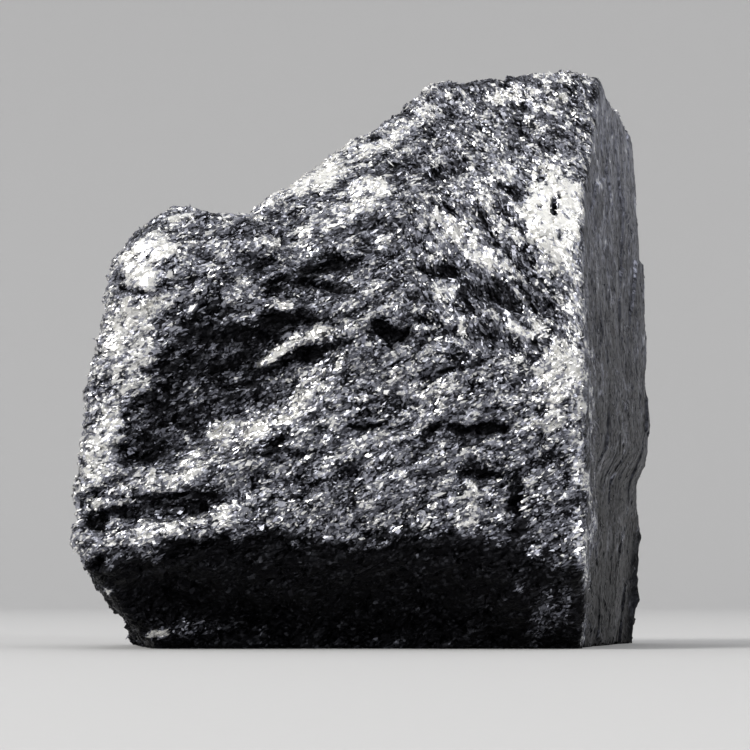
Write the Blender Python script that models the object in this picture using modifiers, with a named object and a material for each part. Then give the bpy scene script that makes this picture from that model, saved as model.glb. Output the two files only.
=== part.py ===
"""A hand specimen of graphite: one broken lump of massive, foliated graphite that rests on a flat base.

Run it with blender --background --python part.py, or from Blender's text editor. Metres, +Z up.
The lump is worked out in millimetres in a working frame: x to the right, y back from the front face,
z up from the base. It is then moved so that the origin is the middle of its box, at the base.
"""

import math

import bmesh
import bpy
from mathutils import Vector, noise

MM = 0.001

# Driving dimensions, in millimetres
LEFT_X = -27.6  # furthest left that the blocks reach
RIGHT_X = 30.4  # furthest right
DEPTH = 42.0  # front face to back face
SUMMIT_Z = 54.4  # height of the tall mass
BLOCK_TOP_Z = SUMMIT_Z + 0.9  # of the block that the breaks are made on
LOBE_Z = 40.2  # height of the low lobe at the front left
LOBE_X, LOBE_DEPTH = -2.0, 13.0  # how far the lobe reaches to the right and back
UNDERCUT_Z = 7.9  # where the front face stops and the overhang below it starts
UNDERCUT_DEPTH = 7.5  # how far the overhang goes back before it meets the base
BELOW_BASE = 3.0  # stone below the base, which the flat base then cuts off
BASE_SNAP = 0.05  # points this close to the base are put on it

VOXEL = 0.55  # size of the even mesh that the relief is put on
ROUNDING_STEPS = 5  # how much the broken edges are worn round
TRIANGLES = 8800  # of the finished lump

# The broken faces of the tall mass: a point on each face and the way it faces
LEFT_SIDE = ((-25.6, 4.0, 16.0), (-0.985, 0.08, 0.115))
LEFT_BEVEL = ((-22.9, 0.0, 30.0), (-0.66, -0.74, 0.12))
LEFT_FOOT = ((-26.0, 5.0, 9.0), (-0.82, -0.08, -0.57))
UNDERCUT = ((0.0, 0.0, UNDERCUT_Z), (-0.10, -UNDERCUT_Z, -UNDERCUT_DEPTH))
TALL_BREAKS = (
    LEFT_SIDE, LEFT_BEVEL, LEFT_FOOT, UNDERCUT,
    ((0.0, 0.0, 30.0), (-0.04, -0.95, 0.32)),  # upper half of the front, leaning back
    ((13.0, 14.5, SUMMIT_Z), (-0.10, -0.74, 0.66)),  # brow above it
    ((5.5, 16.0, SUMMIT_Z - 1.0), (-0.62, 0.03, 0.78)),  # slope of the ridge down towards the notch
    ((-8.0, 16.0, 42.7), (-0.74, 0.03, 0.67)),  # steeper end of that slope, in the notch
    ((5.9, 17.0, SUMMIT_Z - 0.1), (-0.28, 0.06, 0.96)),  # rounding between the ridge and the crown
    ((14.0, 20.0, SUMMIT_Z), (0.10, 0.10, 0.985)),  # crown
    ((27.4, 22.0, SUMMIT_Z - 2.6), (0.74, -0.05, 0.67)),  # right shoulder
    ((28.9, 30.0, 44.0), (0.95, -0.22, 0.20)),  # right side above
    ((29.1, 35.0, 25.0), (0.970, -0.242, 0.02)),  # right side, a smooth cleavage face
    ((29.0, 35.0, 13.0), (0.957, -0.223, -0.09)),  # right side at the foot
    ((17.5, 0.0, 30.0), (0.36, -0.93, 0.05)),  # narrow bevel along the right of the front
    ((26.6, 39.5, 30.0), (0.70, 0.68, 0.20)),  # right rear corner
    ((0.0, DEPTH, 22.0), (0.07, 0.97, 0.20)),  # back
    ((0.0, DEPTH - 0.5, 8.0), (-0.12, 0.80, -0.58)),  # back at the foot
    ((-22.0, 33.0, 18.0), (-0.62, 0.77, 0.14)),  # left rear corner
    ((-8.0, 36.0, 40.0), (-0.35, 0.66, 0.66)),  # rear of the ridge
)

# The broken faces of the low lobe that stands in front of the tall mass
LOBE_BREAKS = (
    LEFT_SIDE, LEFT_BEVEL, LEFT_FOOT, UNDERCUT,
    ((-16.0, 3.0, LOBE_Z), (-0.02, -0.14, 0.99)),  # top
    ((-20.8, 4.0, LOBE_Z - 2.4), (-0.66, -0.20, 0.72)),  # left shoulder
    ((-16.0, 0.0, LOBE_Z - 4.2), (-0.16, -0.80, 0.58)),  # brow
    ((-9.5, 1.0, LOBE_Z - 1.6), (0.60, -0.42, 0.68)),  # flank that falls off towards the tall mass
    ((-16.0, 9.0, LOBE_Z), (-0.10, 0.55, 0.82)),  # rear
)

# Dents (depth > 0) and swellings (depth < 0) of the front face:
# x, z, half length, half width, tilt of the length in degrees, depth
FRONT_FORMS = {
    "scoop": (-12.2, 23.8, 11.6, 6.0, 30.0, 3.0),
    "scoop_upper_end": (-6.2, 29.2, 5.6, 1.9, 12.0, 1.5),
    "ledge_under_scoop": (-11.4, 17.0, 11.0, 1.8, 29.0, -0.9),
    "blade": (-7.4, 27.2, 3.4, 0.9, 30.0, -0.9),
    "long_crack": (-3.6, 33.8, 6.4, 1.7, 14.0, 1.8),
    "middle_crack": (2.4, 29.4, 2.8, 1.6, -12.0, 1.5),
    "lobe_swelling": (-19.4, 35.0, 4.0, 3.2, 60.0, -0.7),
    "hollow_beside_lobe": (-8.4, 36.6, 3.8, 2.2, 30.0, 0.8),
    "low_left_groove": (-18.6, 13.0, 6.4, 1.4, 8.0, 1.6),
    "low_left_pocket": (-23.4, 12.2, 1.8, 1.4, 0.0, 1.2),
    "low_left_ledge": (-17.8, 10.6, 8.0, 1.3, 12.0, -0.9),
    "undercut_arch": (-5.0, 5.4, 18.0, 7.0, -3.0, 3.2),
    "upper_pocket": (7.8, 44.8, 2.4, 1.5, 12.0, 1.6),
    "right_band": (14.2, 32.0, 5.0, 1.8, -15.0, 1.2),
    "right_swelling": (18.0, 39.5, 2.6, 5.2, 0.0, -0.6),
    "lower_band": (10.2, 20.2, 5.2, 1.3, 5.0, 1.0),
    "lower_pit": (11.6, 15.6, 2.0, 1.8, 0.0, 0.9),
    "right_pit": (15.2, 15.0, 1.6, 2.8, 8.0, 0.8),
    "belly": (1.0, 16.0, 9.0, 5.0, 10.0, -0.8),
}
DEEPEST = -0.45  # where a form is deepest, from -1 at its lower edge to 1 at its upper edge

# The thin slab that has come off the lower part of the right-hand cleavage face
SLAB_TOP, SLAB_EDGE = 17.7, 1.8  # height of the step that it left, and half the height that the step takes
SLAB_DEPTH = 1.5  # how thick it was at the rear
SLAB_FRONT, SLAB_FULL = 3.0, 14.0  # where it thins out towards the front, and where it has its full thickness

# Relief all over: lumps, and the edges of the graphite's layers standing out as ledges
BROAD_LUMP, BROAD_HEIGHT = 13.0, 0.9  # size and height
LUMP, LUMP_HEIGHT = 5.2, 0.65
LEDGE_PITCH, LEDGE_HEIGHT = 4.3, 0.55
LAYER_TILT = 27.0  # of the layers on the left, rising to the right, in degrees
LAYER_TILT_RIGHT = -62.0  # of the streaks on the upper right
CALM_SHARE = 0.45  # how much lower the ledges of the right half are
SMOOTH_SIDE = 0.35  # share of the relief that the right-hand cleavage face keeps

NAME = "graphite_lump"


def clear_scene():
    """Empty the scene."""
    for obj in list(bpy.data.objects):
        bpy.data.objects.remove(obj, do_unlink=True)


def new_collection(name):
    """A collection in the scene."""
    collection = bpy.data.collections.new(name)
    bpy.context.scene.collection.children.link(collection)
    return collection


def link_mesh(name, mesh_data, collection):
    """An object of that bmesh, in that collection."""
    mesh = bpy.data.meshes.new(name)
    mesh_data.to_mesh(mesh)
    mesh_data.free()
    obj = bpy.data.objects.new(name, mesh)
    collection.objects.link(obj)
    return obj


def broken_block(name, corner_low, corner_high, breaks, collection):
    """A block with a flat break taken off it along each plane."""
    block = bmesh.new()
    bmesh.ops.create_cube(block, size=1.0)
    low, high = Vector(corner_low), Vector(corner_high)
    for vert in block.verts:
        vert.co = Vector((low[i] + (vert.co[i] + 0.5) * (high[i] - low[i]) for i in range(3)))
    for point, facing in breaks:
        everything = block.verts[:] + block.edges[:] + block.faces[:]
        cut = bmesh.ops.bisect_plane(
            block, geom=everything, plane_co=point, plane_no=facing, clear_outer=True)
        rim = [item for item in cut["geom_cut"] if isinstance(item, bmesh.types.BMEdge)]
        if rim:
            bmesh.ops.contextual_create(block, geom=rim)
    bmesh.ops.recalc_face_normals(block, faces=block.faces[:])
    return link_mesh(name, block, collection)


def add_modifier(obj, kind, **settings):
    """A modifier with those settings."""
    modifier = obj.modifiers.new(kind.lower(), kind)
    for key, value in settings.items():
        setattr(modifier, key, value)


def apply_modifiers(obj):
    """Replace the object's mesh with what its modifiers make of it."""
    evaluated = obj.evaluated_get(bpy.context.evaluated_depsgraph_get())
    finished = bpy.data.meshes.new_from_object(evaluated)
    obj.modifiers.clear()
    obj.data = finished
    finished.name = obj.name


def smooth_step(low, high, value):
    """0 below low, 1 above high, and a smooth rise between them."""
    share = min(max((value - low) / (high - low), 0.0), 1.0)
    return share * share * (3.0 - 2.0 * share)


def form_profile(aside):
    """Share of a form's depth across its width: a slow fall from the upper edge, and a steep lower wall."""
    if aside > DEEPEST:
        return smooth_step(0.0, 1.0, (1.0 - aside) / (1.0 - DEEPEST))
    return smooth_step(0.0, 1.0, (1.0 + aside) / (1.0 + DEEPEST))


def front_form_depth(point):
    """Depth that the named forms of the front face take off at this point."""
    total = 0.0
    for x, z, half_length, half_width, tilt, depth in FRONT_FORMS.values():
        across, up = point.x - x, point.z - z
        turn = math.radians(tilt)
        along = (across * math.cos(turn) + up * math.sin(turn)) / half_length
        aside = (up * math.cos(turn) - across * math.sin(turn)) / half_width
        if along * along + aside * aside < 1.0:
            width_here = math.sqrt(1.0 - along * along)
            total += depth * width_here * form_profile(aside / width_here)
    return total


def ledge_height(point, tilt, pitch):
    """Height of the ledges of the layers here: each one rises slowly and drops off sharply at its edge."""
    turn = math.radians(tilt)
    wander = noise.noise(point / 9.0 + Vector((3.1, 0.0, 7.7))) * 2.6 + noise.noise(point / 3.3) * 0.7
    level = (point.z * math.cos(turn) - point.x * math.sin(turn) + 0.25 * point.y + wander) / pitch
    share = level - math.floor(level)
    strength = 0.55 + 0.9 * noise.noise(Vector((point.x / 7.0, point.y / 7.0, math.floor(level) * 1.7)))
    return max(strength, 0.0) * (share - smooth_step(0.82, 1.0, share))


def relief_height(point):
    """Height of the relief that covers the whole lump."""
    height = BROAD_HEIGHT * noise.noise(point / BROAD_LUMP + Vector((5.0, 4.0, 2.0)))
    height += LUMP_HEIGHT * noise.noise(point / LUMP + Vector((1.0, 9.0, 5.0)))
    right = smooth_step(2.0, 14.0, point.x) * smooth_step(20.0, 36.0, point.z)
    calm = 1.0 - CALM_SHARE * smooth_step(-4.0, 6.0, point.x)
    ledges = (1.0 - right) * calm * ledge_height(point, LAYER_TILT, LEDGE_PITCH)
    ledges += right * ledge_height(point, LAYER_TILT_RIGHT, LEDGE_PITCH * 0.9)
    return height + LEDGE_HEIGHT * ledges


def lost_slab_depth(point, facing):
    """Depth that the lost slab leaves in the right-hand side at this point."""
    side = smooth_step(0.3, 0.7, facing.x) * smooth_step(SLAB_FRONT, SLAB_FULL, point.y)
    return SLAB_DEPTH * side * (1.0 - smooth_step(SLAB_TOP - SLAB_EDGE, SLAB_TOP + SLAB_EDGE, point.z))


def put_on_relief(obj):
    """Move each point of the even mesh by the relief, the lost slab and the forms of the front face."""
    mesh = obj.data
    moved = []
    for vert in mesh.vertices:
        point, facing = vert.co.copy(), vert.normal.copy()
        smooth_side = smooth_step(0.6, 0.9, facing.x)
        height = relief_height(point) * (1.0 - (1.0 - SMOOTH_SIDE) * smooth_side)
        height -= lost_slab_depth(point, facing)
        front = smooth_step(0.25, 0.65, -facing.y) * (1.0 - smooth_step(12.0, 18.0, point.y))
        moved.append(point + facing * height + Vector((0.0, front * front_form_depth(point), 0.0)))
    for vert, place in zip(mesh.vertices, moved):
        vert.co = place
    mesh.update()


def snap_to_base(lump):
    """Put the points that are almost on the base exactly on it."""
    for vert in lump.verts:
        if abs(vert.co.z) < BASE_SNAP:
            vert.co.z = 0.0


def cut_base(obj):
    """Cut the lump flat at z = 0 and close the cut with one flat face."""
    lump = bmesh.new()
    lump.from_mesh(obj.data)
    snap_to_base(lump)
    everything = lump.verts[:] + lump.edges[:] + lump.faces[:]
    cut = bmesh.ops.bisect_plane(
        lump, geom=everything, plane_co=(0, 0, 0), plane_no=(0, 0, -1), clear_outer=True)
    rim = [item for item in cut["geom_cut"] if isinstance(item, bmesh.types.BMEdge)]
    snap_to_base(lump)
    bmesh.ops.contextual_create(lump, geom=rim)
    bmesh.ops.dissolve_degenerate(lump, dist=0.01, edges=lump.edges[:])
    bmesh.ops.triangulate(lump, faces=lump.faces[:])
    bmesh.ops.recalc_face_normals(lump, faces=lump.faces[:])
    lump.to_mesh(obj.data)
    lump.free()


def to_row_frame(obj):
    """Turn millimetres into metres and put the origin in the middle of the box, at the base."""
    points = [vert.co for vert in obj.data.vertices]
    middle_x = (min(p.x for p in points) + max(p.x for p in points)) / 2
    middle_y = (min(p.y for p in points) + max(p.y for p in points)) / 2
    for vert in obj.data.vertices:
        vert.co = (vert.co - Vector((middle_x, middle_y, 0.0))) * MM
    obj.data.update()


def graphite_material():
    """Dark grey with a metallic gleam."""
    material = bpy.data.materials.new("graphite")
    material.use_nodes = True
    shader = material.node_tree.nodes["Principled BSDF"]
    shader.inputs["Base Color"].default_value = (0.115, 0.115, 0.125, 1.0)
    shader.inputs["Metallic"].default_value = 0.8
    shader.inputs["Roughness"].default_value = 0.42
    return material


def build_lump(parts, cutters):
    """The one solid: two broken blocks grown together, worn, given its relief and cut flat below."""
    lump = broken_block(NAME, (LEFT_X, 0.0, -BELOW_BASE), (RIGHT_X, DEPTH, BLOCK_TOP_Z), TALL_BREAKS, parts)
    lobe = broken_block(
        "lobe", (LEFT_X, 0.0, -BELOW_BASE), (LOBE_X, LOBE_DEPTH, LOBE_Z), LOBE_BREAKS, cutters)
    lobe.hide_render = True
    lobe.display_type = "WIRE"
    add_modifier(lump, "BOOLEAN", operation="UNION", solver="EXACT", object=lobe)
    add_modifier(lump, "REMESH", mode="VOXEL", voxel_size=VOXEL)
    add_modifier(lump, "SMOOTH", factor=0.5, iterations=ROUNDING_STEPS)
    apply_modifiers(lump)
    put_on_relief(lump)
    add_modifier(lump, "REMESH", mode="VOXEL", voxel_size=VOXEL)
    apply_modifiers(lump)
    faces = sum(len(face.vertices) - 2 for face in lump.data.polygons)
    add_modifier(lump, "DECIMATE", decimate_type="COLLAPSE", ratio=TRIANGLES / faces)
    apply_modifiers(lump)
    cut_base(lump)
    to_row_frame(lump)
    lump.data.materials.clear()
    lump.data.materials.append(graphite_material())
    return lump


def main():
    """Build the lump in a scene of its own."""
    clear_scene()
    parts = new_collection("graphite_specimen")
    cutters = new_collection("cutters")
    build_lump(parts, cutters)


main()
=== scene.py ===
"""Looks of a graphite hand specimen: its flaky surface, the loose flakes on it, the studio and the camera."""

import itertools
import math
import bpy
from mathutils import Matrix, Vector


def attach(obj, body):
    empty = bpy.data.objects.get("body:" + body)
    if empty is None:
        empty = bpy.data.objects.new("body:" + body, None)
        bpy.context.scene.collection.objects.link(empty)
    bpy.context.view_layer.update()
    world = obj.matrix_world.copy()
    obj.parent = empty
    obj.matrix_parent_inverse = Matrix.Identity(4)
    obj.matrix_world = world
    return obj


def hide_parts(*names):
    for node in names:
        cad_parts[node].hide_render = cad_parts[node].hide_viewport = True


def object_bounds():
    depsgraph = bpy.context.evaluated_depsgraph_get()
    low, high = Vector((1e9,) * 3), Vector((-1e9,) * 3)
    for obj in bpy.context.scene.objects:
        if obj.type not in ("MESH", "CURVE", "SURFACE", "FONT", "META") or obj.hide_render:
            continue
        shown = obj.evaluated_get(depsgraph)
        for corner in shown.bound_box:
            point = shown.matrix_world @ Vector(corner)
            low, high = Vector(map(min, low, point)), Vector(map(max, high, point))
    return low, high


bl_info = {
    "name": "Graphite Specimen",
    "version": (1, 0, 0),
    "blender": (4, 5, 0),
    "location": "3D View > Sidebar > Graphite",
    "description": "Dresses a lump of graphite with its flaky surface and loose flakes, in a plain studio",
    "category": "Add Mesh",
}

import bmesh
import bpy
import numpy as np
from bpy.props import FloatProperty, FloatVectorProperty, IntProperty, PointerProperty
from bpy.types import Operator, Panel, PropertyGroup
from mathutils import Vector

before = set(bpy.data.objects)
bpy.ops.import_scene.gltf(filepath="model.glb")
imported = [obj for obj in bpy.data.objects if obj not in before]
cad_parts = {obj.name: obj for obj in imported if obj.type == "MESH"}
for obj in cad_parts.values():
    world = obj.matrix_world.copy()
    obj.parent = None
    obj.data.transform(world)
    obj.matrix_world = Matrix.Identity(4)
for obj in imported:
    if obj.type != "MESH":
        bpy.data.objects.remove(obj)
CAD_LOW, CAD_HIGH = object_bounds()

MM = 0.001
LUMP = "graphite_lump"
SURFACE = "graphite_surface"

# Places are in millimetres: to the right of the lump's left side, behind its front, and up from its base
LEFT_SIDE = CAD_LOW.x / MM
FRONT = CAD_LOW.y / MM
CORNER = 46.8  # right of the left side, where the front meets the smooth right-hand side

# The layers rise to the right over most of the lump, and fall steeply to the right on the upper right
LAYER_TILT = math.radians(27.0)
STREAK_TILT = math.radians(-60.0)
LAYER_DIP = 0.25  # about how far they fall for each millimetre towards the back

# Where the steep streaks begin and where they are complete
STREAKS_RIGHT = (26.0, 36.0)  # right of the left side
STREAKS_UP = (20.0, 34.0)
STREAK_EDGE_WANDER = 3.0

# Soft patterns: the size of their lumps in millimetres, and a seed
SOFT_PATTERNS = {
    "streak edge": (5.0, 77),
    "patch edge": (1.6, 50),
    "fine patch edge": (0.6, 51),
    "specks": (0.62, 52),
    "foot edge": (3.0, 65),
    "fine foot edge": (0.8, 66),
    "clouds": (3.2, 60),
    "flecks": (0.95, 62),
    "smooth clouds": (2.4, 67),
    "grit": (0.8, 69),
    "fine grit": (0.34, 59),
    "grit clouds": (3.5, 57),
    "spilled grains": (0.8, 58),
    "smooth edge": (1.6, 63),
    "fine smooth edge": (0.6, 64),
}

# Soft patterns that are drawn out: how much they are squeezed on each axis, and a seed
DRAWN_PATTERNS = {
    "scratches": ((0.5, 1.6, 0.10), 97),
    "splits": ((0.16, 0.28, 0.85), 90),
    "split reach": ((0.22, 0.3, 0.4), 91),
    "broad wear": ((0.28, 0.42, 1.25), 70),
    "fine wear": ((0.75, 1.0, 3.2), 71),
    "hollows": ((0.12, 0.16, 0.42), 54),
    "lips": ((0.20, 0.26, 0.75), 55),
    "drips": ((0.5, 0.75, 0.20), 68),
}
WANDER_SEED, FLAKE_SEED, SLAB_SEED = 30, 7, 96

# Broken plates: their shape as shares of their length, the crease round them as shares of their height and
# length, and the height, lean and seed of each kind
PLATE_SHAPE = (1.0, 0.75, 0.42)
CREASE_DEPTH, CREASE_WIDTH = 0.7, 0.10
PLATES, LEAVES, GRAINS = (0.15, 0.30, 10), (0.08, 0.40, 20), (0.035, 0.35, 40)

# Ledges: the pitch, height and seed of each kind, the shares of their rise and drop, how uneven they are, and
# the squeezes of that unevenness and of their reach
FINE_LEDGES, BOLD_LEDGES = (0.95, 0.16, 84), (2.6, 0.50, 80)
LEDGE_RISE, LEDGE_DROP = 0.78, 0.22
LEDGE_SQUEEZE, LEDGE_REACH_SQUEEZE = (0.25, 0.5, 0.6), (0.16, 0.3, 0.25)
LEDGE_UNEVEN = 0.55

# Splits along the layers, and the wandering of the layers
SPLIT_WIDTH, SPLIT_DEPTH = 0.075, 0.22
LAYER_WANDER, LAYER_WANDER_LUMP = 0.9, 6.0

# The smooth break: the size, height and lean of its slabs, and the height of its scratches
SLAB_SIZE = (30.0, 7.0, 10.0)
SLAB_HEIGHT, SLAB_LEAN, SCRATCH_HEIGHT = 0.24, 0.06, 0.035

# Depth of the hollows and height of the lips of patches of strength one, and how far the skin is let in
HOLLOW_DEPTH, LIP_HEIGHT, SKIN_DEPTH = 0.95, 0.30, 0.08
DEEPEST_PATCH = -0.65

# How bright the graphite is, from near black at 0 to the brightest at 1, and what adds to it, with painted
# light on faces turned upwards
MIDDLE_GLEAM = 0.505
RAISED_GLEAM, RAISED_HEIGHT = 0.16, 0.35
CLOUD_GLEAM, UPWARD_PAINTED_LIGHT = 0.06, 0.05
FLECK_GLEAM, STREAK_FLECK_GLEAM = 0.22, 0.20
SPILLED_GLEAM = 0.40
# Painted shade: the share of brightness taken from faces turned downwards and from the undercut foot
UNDERSIDE_PAINTED_SHADE, FOOT_PAINTED_SHADE = 0.8, 0.98
SMOOTH_GLEAM, SMOOTH_GLEAM_UP = 0.162, 0.0085  # of the smooth break at its foot, and for each millimetre up
DRIP_GLEAM, GRIT_GLEAM = 0.12, 0.30

# Odd numbers that mix a lattice cell's three axes, a seed and the bits into random numbers
AXIS_MIX = (73856093, 19349663, 83492791)
SEED_MIX, SEED_START = 2654435761, 974711
BIT_MIX, LAST_MIX = 0x2C1B3C6D297A2D39, 0x9E3779B97F4A7C15

MESH_SMOOTHINGS = 6  # rounds, after the even meshing

# Flakes: the share of needles, their swing in the layer and lean out of it, their proportions, and in
# millimetres how far they stand out, how deep they root and how low they may reach
NEEDLE_SHARE = 0.30
NEEDLE_SWING, LEAF_SWING, FLAKE_LEAN = 0.20, 0.45, 0.32
NEEDLE_LENGTH, NEEDLE_WIDTH = 1.55, 0.42
FLAKE_PROUD, FLAKE_ROOT, LOWEST_FLAKE = 0.035, 0.10, 0.02
FLAKE_TONE_SPREAD = 0.34
RESTING_HEIGHT, RESTING_FACING = 0.5, 0.85  # faces as low and as level as this carry no flakes

# Grains of the finish: size in millimetres, and their stretch along the rising and along the steep layers
SMALL_GRAINS, LARGE_GRAINS = (0.26, 1.6, 1.8), (0.60, 2.0, 2.2)
SMALL_GRAIN_TILT, LARGE_GRAIN_TILT = 0.70, 0.40
DARK_GREY, LIGHT_GREY = 0.25, 3.0  # times the middle grey
# A faint painted blue reflection on the smooth break
BREAK_PAINTED_REFLECTION = (0.99, 1.0, 1.03, 1.0)
FLAKE_WEAR_SCALE, PAPER_TOOTH_SCALE = 2500.0, 900.0

# Steps of the flat floor, of its sweep and round it
FLOOR_STEPS, SWEEP_STEPS, ROUND_STEPS = 12, 24, 96

# Name, place, width in metres, power in watts and colour of each soft light
LIGHTS = (
    ("key light", (-0.90, -0.75, 0.95), 0.60, 17.0, (1.0, 0.985, 0.95)),
    ("side light", (1.10, -1.00, 0.55), 0.50, 6.0, (1.0, 1.0, 1.0)),
)
ROOM_LOW, ROOM_HIGH = (0.50, 0.50, 0.505, 1.0), (1.0, 1.0, 1.0, 1.0)

# The camera, in metres and degrees, and the width of its sensor in millimetres
CAMERA_ASIDE, CAMERA_TIP = -0.0004, 4.09
SENSOR_WIDTH, CLIP_START = 36.0, 0.01
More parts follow.
